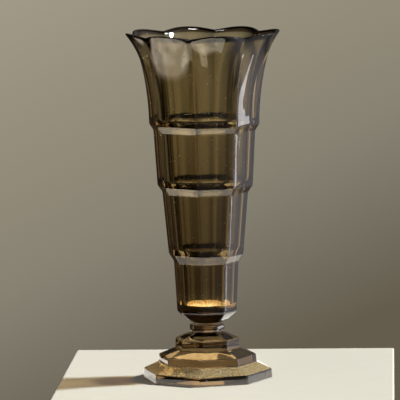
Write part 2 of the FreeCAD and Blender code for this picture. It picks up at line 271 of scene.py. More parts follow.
# %% [markdown]
# ## Foot
#
# The foot is one solid block with three steps. Their treads slope, so that the mould opens and
# water runs off. Underneath it has a shallow round hollow, and it stands on the ring about it.

# %% Foot
FOOT_CORNERS = [
    (8.0, 55.8),
    (13.7, 42.9),
    (20.5, 42.4),
    (25.9, 28.3),
    (34.5, 27.8),
    (FOOT_TOP + JOIN, 15.0),
]
FOOT_BOTTOM = (0.0, 56.3)
FOOT_EDGE = 0.6
HOLLOW_RADIUS = 40.0
HOLLOW_DEPTH = 1.2
HOLLOW_SHARES = [1.0, 0.96, 0.75, 0.5, 0.25]

foot = start_piece("glass_foot", *FOOT_BOTTOM, 0.0)
add_rings(foot, 0.0, FOOT_CORNERS)
foot_levels = [level for level, _ in [FOOT_BOTTOM] + FOOT_CORNERS[:-1]]
round_off(foot, corner_or_level(0.0, foot_levels), FOOT_EDGE)
pick_face(foot, 0.0)
dome = [(HOLLOW_DEPTH * (1 - share**2), HOLLOW_RADIUS * share) for share in HOLLOW_SHARES]
add_rings(foot, 0.0, round_rings(dome))
finish_piece(foot, "stepped_foot", 1)

# %% [markdown]
# ## Collar
#
# A short eight-sided collar joins foot and bowl. Its corners line up with the bowl's.

# %% Collar
COLLAR_RADIUS = 15.4
COLLAR_EDGE = 1.0

collar = start_piece("glass_collar", FOOT_TOP, COLLAR_RADIUS, BOWL_TURN)
add_ring(collar, BOWL_TURN, TIP_LEVEL, COLLAR_RADIUS)
round_off(collar, corner_or_level(BOWL_TURN, [FOOT_TOP, TIP_LEVEL]), COLLAR_EDGE)
finish_piece(collar, "neck_collar", 2)

# %% [markdown]
# ## Bowl
#
# The bowl starts as a solid cone on the collar. Over it come three flat-sided stages, each wider
# than the one below and standing out from it by a sloping shoulder, and then the trumpet. There the
# corners spread with the square of the height and the scallops bow out with its fourth power, so
# that the flare starts gently and ends fast, as in the real vase.

# %% Bowl, outside
BOWL_CORNERS = [
    (56.7, 25.2),
    (58.0, 26.2),
    (101.2, 28.4),
    (107.9, 32.8),
    (161.3, 37.6),
    (167.1, 41.8),
    (214.7, 44.6),
    (220.3, 48.3),
]
TIP_RADIUS = 14.0
TRUMPET_LEVEL, TRUMPET_RADIUS = BOWL_CORNERS[-1]
NOTCH_LEVEL = 297.0
FLARE = 13.2
SCALLOP_BULGE = 9.2
SCALLOP_RISE = RIM_LEVEL - NOTCH_LEVEL
RISE_POWER = 24
STAGE_EDGE = 0.8
FLARE_SHARES = [0.035, 0.15, 0.3, 0.45, 0.58, 0.7, 0.8, 0.88, 0.95, 1.0]


def flare_level(share):
    """Level at a share of the trumpet's height."""
    return TRUMPET_LEVEL + (NOTCH_LEVEL - TRUMPET_LEVEL) * share


def crown_radius(share):
    """Radius over the middles of the trumpet's sides at a share of its height."""
    return (TRUMPET_RADIUS + FLARE * share**2) * SIDE_SHARE + SCALLOP_BULGE * share**4


def flare_ring(share):
    """Ring of the trumpet's outside, whose middles climb ahead of its corners near the rim."""
    rise = SCALLOP_RISE * share**RISE_POWER
    crown_share = share + rise / (NOTCH_LEVEL - TRUMPET_LEVEL)
    return flare_level(share), TRUMPET_RADIUS + FLARE * share**2, crown_radius(crown_share), rise


bowl = start_piece("glass_bowl", TIP_LEVEL - JOIN, TIP_RADIUS, BOWL_TURN)
add_rings(bowl, BOWL_TURN, walls(BOWL_CORNERS))
add_rings(bowl, BOWL_TURN, [flare_ring(share) for share in FLARE_SHARES])
outer_levels = [level for level, _ in BOWL_CORNERS]
round_off(bowl, corner_or_level(BOWL_TURN, outer_levels), STAGE_EDGE)
print("outside of the bowl:", len(bmesh.from_edit_mesh(bowl.data).verts), "points")

# %% [markdown]
# The same face now goes on inward and down, so that outside and inside are one closed skin. The
# rim's scallops rise a little between their notches. The cavity follows the scallops at the mouth,
# is round below, and has a sloping ledge a little above each outer one. Its floor is rounded.

# %% Bowl, rim and cavity
RIM_WALL = 3.7
NOTCH_WALL = 4.2
WALL = 4.1
CAVITY_LOBE = 0.4
CAVITY_SHARES = [0.97, 0.9, 0.8, 0.68, 0.54, 0.38, 0.22, 0.1]
LEDGE_LIFT = 5.2
FLOOR_LEVEL = TIP_LEVEL + 13.0
FLOOR_EDGE = 5.0
FLOOR_FLAT = 8.0
LEDGE_EDGE = 0.9
RIM_EDGE = 1.8
RIM_SEGMENTS = 3
SAME_ANGLE_SHARE = 1 - 1e-6


def cavity_ring(share):
    """Ring of the trumpet's inside: scalloped at the mouth and round near the ledge."""
    level, _, side, rise = flare_ring(share)
    rim_corner = flare_ring(1.0)[1]
    gap = (crown_radius(1.0) - RIM_WALL) - (rim_corner - NOTCH_WALL)
    wall = WALL - (WALL - RIM_WALL) * share
    corner = crown_radius(share) - wall - CAVITY_LOBE - (gap - CAVITY_LOBE) * share**4
    return level, corner, side - wall, rise


def cavity_corner(level, corner):
    """Corner of the round cavity's profile inside an outer corner of the bowl."""
    return level + LEDGE_LIFT, corner * SIDE_SHARE - WALL


def along_rim(one, other):
    """Test for the edges that run along the rim, outside and inside."""
    if min(one.co.z, other.co.z) / MM < NOTCH_LEVEL - LEVEL_SLACK:
        return False
    return one.co.xy.normalized().dot(other.co.xy.normalized()) < SAME_ANGLE_SHARE


pick_top(bowl)
add_ring(bowl, BOWL_TURN, *cavity_ring(1.0))
add_rings(bowl, BOWL_TURN, [cavity_ring(share) for share in CAVITY_SHARES])
ledges = [cavity_corner(level, corner) for level, corner in reversed(BOWL_CORNERS[2:])]
wall_foot = (FLOOR_LEVEL + FLOOR_EDGE, BOWL_CORNERS[1][1] * SIDE_SHARE - WALL)
add_rings(bowl, BOWL_TURN, round_rings(walls(ledges + [wall_foot])))
floor_turns = [math.radians(angle) for angle in (15, 30, 45, 60, 75, 90)]
floor_rings = [
    (wall_foot[0] - FLOOR_EDGE * math.sin(angle), wall_foot[1] - FLOOR_EDGE * (1 - math.cos(angle)))
    for angle in floor_turns
]
add_rings(bowl, BOWL_TURN, round_rings(floor_rings + [(FLOOR_LEVEL, FLOOR_FLAT)]))
round_off(bowl, along_rim, RIM_EDGE, RIM_SEGMENTS)
round_off(bowl, at_level([level for level, _ in ledges]), LEDGE_EDGE)
finish_piece(bowl, "trumpet_bowl", 1)

# %% [markdown]
# ## Glass
#
# Every finish is worked out by shader nodes. A few kinds of node are needed again and again, so each
# of them has a short helper here. A helper adds its node to the tree that it is given.

# %% Node helpers


def value_node(tree, operation, *values):
    """Math node whose inputs are numbers or outputs of other nodes."""
    node = tree.nodes.new("ShaderNodeMath")
    node.operation = operation
    for socket, value in zip(node.inputs, values):
        if isinstance(value, (int, float)):
            socket.default_value = value
        else:
            tree.links.new(value, socket)
    return node.outputs[0]


def spread(tree, source, low, high, first=0.0, last=1.0):
    """Turns the range from low to high into the range from first to last."""
    node = tree.nodes.new("ShaderNodeMapRange")
    ends = {"From Min": low, "From Max": high, "To Min": first, "To Max": last}
    for socket, value in ends.items():
        node.inputs[socket].default_value = value
    tree.links.new(source, node.inputs["Value"])
    return node.outputs["Result"]


def mixed(tree, share, first, second):
    """Colour between two others by a share, each a plain colour or another node's output."""
    node = tree.nodes.new("ShaderNodeMix")
    node.data_type = "RGBA"
    tree.links.new(share, node.inputs["Factor"])
    for socket, colour in (("A", first), ("B", second)):
        if isinstance(colour, tuple):
            node.inputs[socket].default_value = (*colour, 1)
        else:
            tree.links.new(colour, node.inputs[socket])
    return node.outputs["Result"]


def colours(tree, source, low, high, stops):
    """Colour ramp over a range, from (place in it, colour) stops."""
    node = tree.nodes.new("ShaderNodeValToRGB")
    elements = node.color_ramp.elements
    while len(elements) < len(stops):
        elements.new(0.5)
    for element, (place, colour) in zip(elements, stops):
        element.position = (place - low) / (high - low)
        element.color = (*colour, 1)
    tree.links.new(spread(tree, source, low, high), node.inputs["Fac"])
    return node.outputs["Color"]


def clouds(tree, place, scale, detail):
    """Soft noise over a place."""
    node = tree.nodes.new("ShaderNodeTexNoise")
    node.inputs["Scale"].default_value = scale
    node.inputs["Detail"].default_value = detail
    tree.links.new(place, node.inputs["Vector"])
    return node.outputs["Fac"]


def part_of(tree, vector, axis):
    """One of the three parts of a vector."""
    node = tree.nodes.new("ShaderNodeSeparateXYZ")
    tree.links.new(vector, node.inputs["Vector"])
    return node.outputs[axis]


def bumped(tree, height, distance):
    """Normal of a surface with a fine relief."""
    node = tree.nodes.new("ShaderNodeBump")
    node.inputs["Distance"].default_value = distance
    tree.links.new(height, node.inputs["Height"])
    return node.outputs["Normal"]


helpers = (value_node, spread, mixed, colours, clouds, part_of, bumped)
print("node helpers:", [helper.__name__ for helper in helpers])

# %% [markdown]
# Pressed glass is never quite flat. It keeps long upright waves from the plunger, a finer skin like
# orange peel, and a few tiny pits and bubbles. They are a tenth of a millimetre deep at most and
# never show in the outline, so a bump makes them instead of the mesh.

# %% Relief of the pressed skin
WAVE_SCALE = 120.0
WAVE_STRETCH = (1.0, 1.0, 0.18)
PEEL_SCALE = 700.0
PIT_SCALE = 140.0
PLAIN_SHARE = 0.62
PIT_SHARE = 0.09
PIT_ROUGHNESS = 0.5
SMUDGE_SCALE = 30.0


def pits_on(tree, place):
    """1 in a small round pit, in some cells of a cell pattern, and 0 elsewhere."""
    cells = tree.nodes.new("ShaderNodeTexVoronoi")
    cells.inputs["Scale"].default_value = PIT_SCALE
    tree.links.new(place, cells.inputs["Vector"])
    rare = value_node(tree, "GREATER_THAN", cells.outputs["Color"], PLAIN_SHARE)
    near = value_node(tree, "LESS_THAN", cells.outputs["Distance"], PIT_SHARE)
    return value_node(tree, "MULTIPLY", rare, near)


def skin_relief(tree, place, given):
    """Height of the skin in millimetres and its roughness, by the strengths given to the group."""
    stretched = tree.nodes.new("ShaderNodeMapping")
    stretched.inputs["Scale"].default_value = WAVE_STRETCH
    tree.links.new(place, stretched.inputs["Vector"])
    long_waves = clouds(tree, stretched.outputs["Vector"], WAVE_SCALE, 1.0)
    waves = value_node(tree, "MULTIPLY", long_waves, given["Waves"])
    peel = value_node(tree, "MULTIPLY", clouds(tree, place, PEEL_SCALE, 2.0), given["Peel"])
    pitted = pits_on(tree, place)
    pits = value_node(tree, "MULTIPLY", pitted, given["Pits"])
    height = value_node(tree, "SUBTRACT", value_node(tree, "ADD", waves, peel), pits)
    smudge = value_node(tree, "MULTIPLY", clouds(tree, place, SMUDGE_SCALE, 3.0), given["Haze"])
    return height, value_node(tree, "MULTIPLY_ADD", pitted, PIT_ROUGHNESS, smudge)


print(f"waves {1 / WAVE_SCALE / MM:.0f} mm apart, peel {1 / PEEL_SCALE / MM:.1f} mm")

# %% [markdown]
# The glass doesn't look equally dark everywhere. A mask says where its tint turns darker. In the
# solid cone that is its depth, with painted shade on top. In the upright walls and at the top of
# the foot, and in a line just under the rim, it is painted shade for the dark that the glass bends
# in there. The bowl gets darker towards its bottom, and the cavity's floor and the two lower treads
# get random patches. Its levels are heights above the ground, each with its share of the darker tint.

# %% Mask of depth and painted shade
# Levels: the top of the foot and a line under the rim are painted shade, the solid cone is depth with
# painted shade, and the bowl gets darker towards its bottom.
SHADE_AND_DEPTH_LEVELS = [
    (26.0, 0.0),
    (38.0, 0.10),
    (42.0, 0.5),
    (58.2, 1.0),
    (58.8, 0.05),
    (66.0, 0.08),
    (76.0, 0.42),
    (150.0, 0.26),
    (230.0, 0.0),
    (293.5, 0.0),
    (296.0, 0.75),
]
SLOPING, UPRIGHT = 0.6, 0.3
PATCH_SCALE = 260.0
PATCH_START, PATCH_END = 0.44, 0.60


def shade_and_depth_mask(tree, place, normal, given):
    """Share of the darker tint, for depth and painted shade: the most that level, upright walls or patches
    give.
    """
    stops = [(level * MM, (share, share, share)) for level, share in SHADE_AND_DEPTH_LEVELS]
    by_level = colours(tree, part_of(tree, place, "Z"), 0.0, RIM_LEVEL * MM, stops)
    tilt = value_node(tree, "ABSOLUTE", part_of(tree, normal, "Z"))
    upright = spread(tree, tilt, SLOPING, UPRIGHT)
    by_wall = value_node(tree, "MULTIPLY", upright, given["Walls"])
    patches = spread(tree, clouds(tree, place, PATCH_SCALE, 5.0), PATCH_START, PATCH_END)
    by_patch = value_node(tree, "MULTIPLY", patches, given["Mottle"])
    return value_node(tree, "MAXIMUM", value_node(tree, "MAXIMUM", by_level, by_wall), by_patch)


print("levels with their depth:", SHADE_AND_DEPTH_LEVELS)

# %% [markdown]
# Relief and mask go into one node group that all the pieces share. Its inputs say how strong each
# effect is on a finish. What comes out is only values, and the glass itself stays in the material.

# %% Group for the pressed skin
STRENGTHS = {"Waves": 0.02, "Peel": 0.0006, "Pits": 0.02, "Haze": 0.004, "Walls": 0.0, "Mottle": 0.0}


def pressed_skin_group():
    """Node group that gives the skin's height, roughness and mask of depth and painted shade."""
    group = bpy.data.node_groups.new("pressed_skin", "ShaderNodeTree")
    for name, value in STRENGTHS.items():
        socket = group.interface.new_socket(name, in_out="INPUT", socket_type="NodeSocketFloat")
        socket.default_value = value
    for name in ("Height", "Roughness", "Shade and depth"):
        group.interface.new_socket(name, in_out="OUTPUT", socket_type="NodeSocketFloat")
    given = group.nodes.new("NodeGroupInput").outputs
    result = group.nodes.new("NodeGroupOutput").inputs
    object_places = group.nodes.new("ShaderNodeTexCoord").outputs
    place, normal = object_places["Object"], object_places["Normal"]
    height, roughness = skin_relief(group, place, given)
    group.links.new(height, result["Height"])
    group.links.new(roughness, result["Roughness"])
    group.links.new(shade_and_depth_mask(group, place, normal, given), result["Shade and depth"])
    return group


skin_group = pressed_skin_group()
print(f"node group {skin_group.name}: {len(skin_group.nodes)} nodes")

# %% [markdown]
# The colour of this glass is in its depth: thin walls look pale brown, the solid foot much darker.
# A Volume Absorption shader takes light away along each path. Depth alone made dark stripes at every
# thick corner, so part of the colour is a tint that acts each time light crosses the surface.
# The surface bends light as soda-lime glass does. Lamps shine through it by Is Shadow Ray, because
# the bent light under real glass would take far too long to find.

# %% Smoky glass
GLASS_IOR = 1.52
SMOKE_COLOUR = (0.68, 0.55, 0.28, 1.0)
LAMP_SHARE = (0.88, 0.84, 0.76)


def open_to_lamps(tree, glass, lets):
    """The glass, but a plain tinted pane where a lamp shines through it."""
    rays = tree.nodes.new("ShaderNodeLightPath")
    pane = tree.nodes.new("ShaderNodeBsdfTransparent")
    pane.inputs["Color"].default_value = (*lets, 1)
    either = tree.nodes.new("ShaderNodeMixShader")
    tree.links.new(rays.outputs["Is Shadow Ray"], either.inputs["Fac"])
    tree.links.new(glass, either.inputs[1])
    tree.links.new(pane.outputs["BSDF"], either.inputs[2])
    return either.outputs["Shader"]


def smoky_depth(tree, density):
    """Absorption inside the glass."""
    depth = tree.nodes.new("ShaderNodeVolumeAbsorption")
    depth.inputs["Color"].default_value = SMOKE_COLOUR
    depth.inputs["Density"].default_value = density
    return depth.outputs["Volume"]


def smoky_glass(name, tint, density, deep=None, clear=1.0, lets=LAMP_SHARE, **strengths):
    """Wavy glass with a smoky tint, darker where the skin's mask says, for depth and painted shade, over a
    smoky depth.
    """
    material = bpy.data.materials.new(name)
    material.use_nodes = True
    tree = material.node_tree
    surface = tree.nodes["Principled BSDF"]
    surface.inputs["Base Color"].default_value = (*tint, 1)
    surface.inputs["IOR"].default_value = GLASS_IOR
    surface.inputs["Transmission Weight"].default_value = clear
    skin = tree.nodes.new("ShaderNodeGroup")
    skin.node_tree = skin_group
    for socket, value in strengths.items():
        skin.inputs[socket].default_value = value
    if deep:
        # Painted shade, and the cone's depth: the tint turns darker where the mask says.
        shaded_tint = mixed(tree, skin.outputs["Shade and depth"], tint, deep)
        tree.links.new(shaded_tint, surface.inputs["Base Color"])
    tree.links.new(skin.outputs["Roughness"], surface.inputs["Roughness"])
    tree.links.new(bumped(tree, skin.outputs["Height"], MM), surface.inputs["Normal"])
    result = tree.nodes["Material Output"].inputs
    tree.links.new(open_to_lamps(tree, surface.outputs["BSDF"], lets), result["Surface"])
    tree.links.new(smoky_depth(tree, density), result["Volume"])
    return material


print("glass bends light by", GLASS_IOR)

# %% [markdown]
# The bowl's tint is a pale khaki that turns to deep brown in the solid cone, for its depth with
# painted shade on top. The same brown makes a painted dark line just under the rim, and the bowl
# gets darker towards its bottom. The collar is brown all through. The foot is nearly clear on its
# treads, and painted shade makes its upright walls and its top dark.

# %% Plain finishes
BOWL_TINT = (0.74, 0.69, 0.53)
CONE_DEPTH_AND_SHADE_TINT = (0.21, 0.115, 0.06)
COLLAR_TINT = (0.50, 0.38, 0.26)
FOOT_TINT = (0.99, 0.93, 0.79)
FOOT_WALL_SHADE_TINT = (0.30, 0.225, 0.15)
FOOT_LAMP_SHARE = (0.44, 0.39, 0.31)
BOWL_DENSITY = 100.0
COLLAR_DENSITY = 60.0
FOOT_DENSITY = 20.0


def dress(piece, finish):
    """Gives a piece its finish."""
    piece.data.materials.clear()
    piece.data.materials.append(finish)
    print(f"{finish.name} on {piece.name}")


dress(bowl, smoky_glass("bowl_glass", BOWL_TINT, BOWL_DENSITY, deep=CONE_DEPTH_AND_SHADE_TINT))
dress(collar, smoky_glass("collar_glass", COLLAR_TINT, COLLAR_DENSITY))
# Painted shade: the foot's upright walls and top take the dark wall tint.
shaded_walls = {"deep": FOOT_WALL_SHADE_TINT, "lets": FOOT_LAMP_SHARE, "Walls": 1.0}
dress(foot, smoky_glass("foot_glass", FOOT_TINT, FOOT_DENSITY, **shaded_walls))

# %% [markdown]
# The floor of the cavity is dull and golden, a painted glow that stands in for light the glass
# gathers there, and a lamp lights it. It is a second finish, on the faces that a plain test picks.

# %% Painted glow on the floor of the cavity
FLOOR_REACH = (-0.5, 6.0)
FLOOR_FACING = 0.08


def dress_part(piece, finish, wanted):
    """Gives the faces that pass the test a second finish."""
    piece.data.materials.append(finish)
    chosen = [face for face in piece.data.polygons if wanted(face.center / MM, face.normal)]
    for face in chosen:
        face.material_index = len(piece.data.materials) - 1
    print(f"{finish.name} on {len(chosen)} faces of {piece.name}")


def on_floor(place, normal):
    """Whether a face belongs to the floor of the cavity."""
    below, above = FLOOR_REACH
    return FLOOR_LEVEL + below < place.z < FLOOR_LEVEL + above and normal.z > FLOOR_FACING


# Painted glow: an opaque, dull golden face with darker random patches.
floor_glow_finish = smoky_glass(
    "floor_painted_glow",
    (1.0, 0.88, 0.55),
    BOWL_DENSITY,
    deep=(0.72, 0.45, 0.16),
    clear=0.0,
    Haze=0.9,
    Waves=0.1,
    Peel=0.02,
    Mottle=1.0,
)
dress_part(bowl, floor_glow_finish, on_floor)

# %% [markdown]
# The two lower treads have finishes of their own. The middle one is nearly clear, with a fine
# grain, and its tint is darker than the foot's: painted shade. The lowest one is grainy and partly
# dull, and its golden colour is a painted glow for the light that the solid foot gathers there. The
# upper one keeps the plain finish of the foot.

# %% Treads with painted shade and glow
TREAD_LAMP_SHARE = (0.96, 0.88, 0.72)
TREAD_FACING = 0.6
TREAD_SLACK = 0.3
LOWEST_TREAD_TOP = FOOT_CORNERS[1][0] + TREAD_SLACK
MIDDLE_TREAD_TOP = FOOT_CORNERS[3][0] + TREAD_SLACK


def tread_between(low, high):
    """Test for the faces of a tread between two levels."""
    return lambda place, normal: low < place.z < high and normal.z > TREAD_FACING


# Painted shade: a darker tint on the middle tread.
middle_shaded_finish = smoky_glass(
    "middle_tread_painted_shade",
    (0.60, 0.51, 0.34),
    FOOT_DENSITY,
    deep=(0.38, 0.25, 0.11),
    clear=0.95,
    lets=TREAD_LAMP_SHARE,
    Haze=0.02,
    Waves=0.05,
    Peel=0.004,
    Mottle=0.6,
)
dress_part(foot, middle_shaded_finish, tread_between(LOWEST_TREAD_TOP, MIDDLE_TREAD_TOP))
# Painted glow: a golden, partly dull face on the lowest tread.
lowest_glow_finish = smoky_glass(
    "lowest_tread_painted_glow",
    (1.0, 0.84, 0.48),
    FOOT_DENSITY,
    deep=(0.70, 0.46, 0.20),
    clear=0.70,
    lets=TREAD_LAMP_SHARE,
    Haze=0.03,
    Waves=0.05,
    Peel=0.006,
    Mottle=0.5,
)
dress_part(foot, lowest_glow_finish, tread_between(0.0, LOWEST_TREAD_TOP))

# %% [markdown]
# The ring that the foot stands on was ground flat on a wheel, which leaves it matt. The hollow
# inside it was never touched by the wheel and stayed bright. Both let all lamplight through, so that
# the slab under the foot gets what the treads let in.

# %% Underside
GROUND_TOP = 0.05
FACES_DOWN = -0.9
HOLLOW_TOP = HOLLOW_DEPTH + 0.1
ALL_LIGHT = (1.0, 1.0, 1.0)


def underside_between(low, high):
    """Test for the faces of the underside from one level up to another."""
    return lambda place, normal: low <= place.z < high and normal.z < FACES_DOWN


ground_finish = smoky_glass("ground_ring", FOOT_TINT, FOOT_DENSITY, lets=ALL_LIGHT, Haze=0.7, Peel=0.02)
dress_part(foot, ground_finish, underside_between(-GROUND_TOP, GROUND_TOP))
hollow_finish = smoky_glass("shallow_hollow", FOOT_TINT, FOOT_DENSITY, lets=ALL_LIGHT)
dress_part(foot, hollow_finish, underside_between(GROUND_TOP, HOLLOW_TOP))

# %% [markdown]
# The rim is thick and round, and such an edge bends light from all over the room, most of it dark.
# From the front that makes a dark line along the scallops. Light bent so often is hard to trace, so
# a band of the outside that follows the scallops gets a deeper tint: the dark line as painted shade.

# %% Dark line of the rim
RIM_BAND = 3.7
RIM_SHADE_TINT = (0.20, 0.155, 0.11)


def below_rim(place):
    """Distance of a place under the scalloped edge."""
    steps = (math.atan2(place.y, place.x) - BOWL_TURN) / (STEP_ANGLE / 2)
    off_middle = (steps + 1) % 2 - 1
    return NOTCH_LEVEL + SCALLOP_RISE * (1 - off_middle**2) - place.z


def on_rim_band(place, normal):
    """Whether a face looks outward and lies near the edge."""
    return below_rim(place) < RIM_BAND and normal.dot(place) > 0


dress_part(bowl, smoky_glass("rim_glass", RIM_SHADE_TINT, BOWL_DENSITY), on_rim_band)

# %% [markdown]
# ## Stage
#
# The camera stands far off with a long lens, a little above the rim, so that the upright walls stay
# upright. Its place was fitted to the foot's corners and the rim.

# %% Camera
VIEW_ANGLE = math.radians(-15.0)
VIEW_DISTANCE = 3157.0
VIEW_HEIGHT = 520.6
VIEW_PITCH = math.radians(6.62)
VIEW_ROLL = math.radians(0.87)
VIEW_OFFSET = math.radians(0.082)
LENS = 332.1
FAR_LIMIT = 20.0

camera_data = bpy.data.cameras.new("view")
camera_data.lens = LENS
camera_data.clip_end = FAR_LIMIT
camera = bpy.data.objects.new("view", camera_data)
bpy.context.scene.collection.objects.link(camera)
away = Vector((math.sin(VIEW_ANGLE), -math.cos(VIEW_ANGLE), 0))
camera.location = (away * VIEW_DISTANCE + Vector((0, 0, VIEW_HEIGHT))) * MM
aim = Euler((math.pi / 2 - VIEW_PITCH, 0, VIEW_ANGLE + VIEW_OFFSET)).to_matrix()
camera.rotation_euler = (aim @ Matrix.Rotation(-VIEW_ROLL, 3, "Z")).to_euler()
bpy.context.scene.camera = camera
print("camera at", [round(value, 3) for value in camera.location])

# %% [markdown]
# The vase stands on a slab with soft edges. Its top lies a hair under the foot, so that the two
# faces don't fight in the render.

# %% Slab
SLAB_ANGLE = VIEW_ANGLE + math.radians(-3.0)
SLAB_SIZE = (288.0, 330.0, 40.0)
SLAB_MIDDLE = (17.0, -10.0)
SLAB_EDGE = 1.5
SLAB_CLEARANCE = 0.05

bpy.ops.object.select_all(action="DESELECT")
bpy.ops.mesh.primitive_cube_add(size=1.0)
slab = bpy.context.object
slab.name = "slab"
slab.scale = [value * MM for value in SLAB_SIZE]
slab.location = Vector((*SLAB_MIDDLE, -SLAB_SIZE[2] / 2 - SLAB_CLEARANCE)) * MM
bpy.ops.object.transform_apply(location=True, rotation=True, scale=True)
slab.rotation_euler = (0, 0, SLAB_ANGLE)
bpy.ops.object.transform_apply(rotation=True)
edge = slab.modifiers.new("edge", "BEVEL")
edge.width = SLAB_EDGE * MM
edge.segments = 3
bpy.ops.object.modifier_apply(modifier=edge.name)
print("slab:", [round(value / MM) for value in slab.dimensions], "mm")

# %% [markdown]
# It is painted a pale warm white, with a soft mottle and grain from the brush. Its colour is a
# little lighter at the left and darker at the right: painted light and shade. The glass mirrors it
# as it would look in full sun: that extra light is only there for mirrored rays, by Is Glossy Ray
# and Is Reflection Ray, and never falls on anything else.

# %% Paint of the slab
PAINT_LIT_LEFT = (0.94, 0.92, 0.82)
PAINT_SHADED_RIGHT = (0.80, 0.79, 0.715)
PAINT_WORN = (0.60, 0.56, 0.47)
PAINT_REACH = 0.13
WORN_MOST, WORN_LEAST = 0.12, -0.06
BRUSH_SCALE = 45.0
GRAIN_DEPTH = 0.2
SUN_COLOUR = (1.0, 0.98, 0.92)
SUN_STRENGTH = 1.2

paint = bpy.data.materials.new("pale_paint")
paint.use_nodes = True
tree = paint.node_tree
surface = tree.nodes["Principled BSDF"].inputs
surface["Roughness"].default_value = 0.6
surface["Emission Color"].default_value = (*SUN_COLOUR, 1)
place = tree.nodes.new("ShaderNodeTexCoord").outputs["Object"]
# Painted light and shade: the paint turns from lighter at the left to darker at the right.
to_right = spread(tree, part_of(tree, place, "X"), -PAINT_REACH, PAINT_REACH)
tone = mixed(tree, to_right, PAINT_LIT_LEFT, PAINT_SHADED_RIGHT)
brush = clouds(tree, place, BRUSH_SCALE, 8.0)
worn = spread(tree, brush, 0.0, 1.0, WORN_MOST, WORN_LEAST)
tree.links.new(mixed(tree, worn, tone, PAINT_WORN), surface["Base Color"])
tree.links.new(bumped(tree, brush, GRAIN_DEPTH * MM), surface["Normal"])
rays = tree.nodes.new("ShaderNodeLightPath").outputs
in_mirror = value_node(tree, "MULTIPLY", rays["Is Glossy Ray"], rays["Is Reflection Ray"])
tree.links.new(value_node(tree, "MULTIPLY", in_mirror, SUN_STRENGTH), surface["Emission Strength"])
slab.data.materials.append(paint)
print(f"{paint.name}: {len(tree.nodes)} nodes")

# %% [markdown]
# Around the vase is a room, made in the world's colour alone. Its directions are turned so that X
# runs across the picture and Z up. Light path rays tell who is looking: the camera, light that a
# surface mirrors, or light that went through the glass.

# %% Room
world = bpy.data.worlds.new("room")
bpy.context.scene.world = world
world.use_nodes = True
room = world.node_tree
room.nodes.clear()
direction = room.nodes.new("ShaderNodeTexCoord")
turned = room.nodes.new("ShaderNodeMapping")
turned.inputs["Rotation"].default_value = (0, 0, -VIEW_ANGLE)
room.links.new(direction.outputs["Generated"], turned.inputs["Vector"])
towards = turned.outputs["Vector"]
across = part_of(room, towards, "X")
upward = part_of(room, towards, "Z")
rays = room.nodes.new("ShaderNodeLightPath").outputs
print("room turned by", round(math.degrees(-VIEW_ANGLE)), "degrees")

# %% [markdown]
# Behind the vase is nothing but a warm grey wall that is lighter at the upper left. Lower down it
# gets dark, which only the glass sees. For the camera it stops at the darkest tone that suits the
# picture, from whichever side the vase is seen.

# %% Wall behind
WALL_HALF_WIDTH = 0.075
WALL_SLANT = -0.44
DARKEST_LEVEL = -0.1665
WALL_TONES = [
    (-0.25, (0.006, 0.005, 0.004)),
    (-0.20, (0.050, 0.042, 0.030)),
    (DARKEST_LEVEL, (0.127, 0.109, 0.074)),
    (-0.1475, (0.165, 0.149, 0.112)),
    (-0.115, (0.244, 0.223, 0.170)),
    (-0.068, (0.311, 0.278, 0.209)),
    (-0.030, (0.365, 0.330, 0.260)),
    (0.09, (0.400, 0.370, 0.310)),
]

ahead = room.nodes.new("ShaderNodeClamp")
ahead.inputs["Min"].default_value = -WALL_HALF_WIDTH
ahead.inputs["Max"].default_value = WALL_HALF_WIDTH
room.links.new(across, ahead.inputs["Value"])
slanted = value_node(room, "MULTIPLY_ADD", ahead.outputs[0], WALL_SLANT, upward)
lowest = value_node(room, "SUBTRACT", rays["Is Camera Ray"], 1 - DARKEST_LEVEL)
wall = colours(room, value_node(room, "MAXIMUM", slanted, lowest), -0.5, 0.5, WALL_TONES)
print("wall behind:", len(WALL_TONES), "tones")

# %% [markdown]
# Clear glass shows its form only by what it bends and mirrors. Its bent surfaces see far to the
# sides, where the room has dark and bright strips like the openings between curtains, and up to a
# pale ceiling above the wall.

# %% Sides and ceiling
CEILING_START, CEILING_FULL = 0.09, 0.15
SIDES_START, SIDES_FULL = 0.33, 0.45
SIDE_STRIPS = [
    (-0.90, (0.004, 0.003, 0.002)),
    (-0.76, (0.220, 0.205, 0.180)),
    (-0.64, (0.004, 0.003, 0.002)),
    (-0.54, (0.180, 0.165, 0.140)),
    (-0.44, (0.006, 0.005, 0.004)),
    (0.46, (0.050, 0.042, 0.035)),
    (0.58, (0.95, 0.90, 0.82)),
    (0.70, (0.060, 0.050, 0.045)),
    (0.95, (0.70, 0.66, 0.62)),
]
CEILING_TONES = [
    (-0.32, (0.03, 0.025, 0.02)),
    (-0.22, (0.80, 0.76, 0.68)),
    (0.28, (0.72, 0.69, 0.62)),
    (0.36, (0.06, 0.05, 0.04)),
]

sides = colours(room, across, -1.0, 1.0, SIDE_STRIPS)
ceiling = colours(room, across, -1.0, 1.0, CEILING_TONES)
ahead_and_up = mixed(room, spread(room, upward, CEILING_START, CEILING_FULL), wall, ceiling)
aside = value_node(room, "ABSOLUTE", across)
bent = mixed(room, spread(room, aside, SIDES_START, SIDES_FULL), ahead_and_up, sides)
print("sides:", len(SIDE_STRIPS), "tones, ceiling:", len(CEILING_TONES), "tones")

# %% [markdown]
# Mirrored light shows the dark room on the camera's side, brighter at the far right. The flare leans
# over so far that it mirrors what lies below it, a sunlit table with soft clouds of shade. That
# table is much brighter than the rest, as sunlight is.

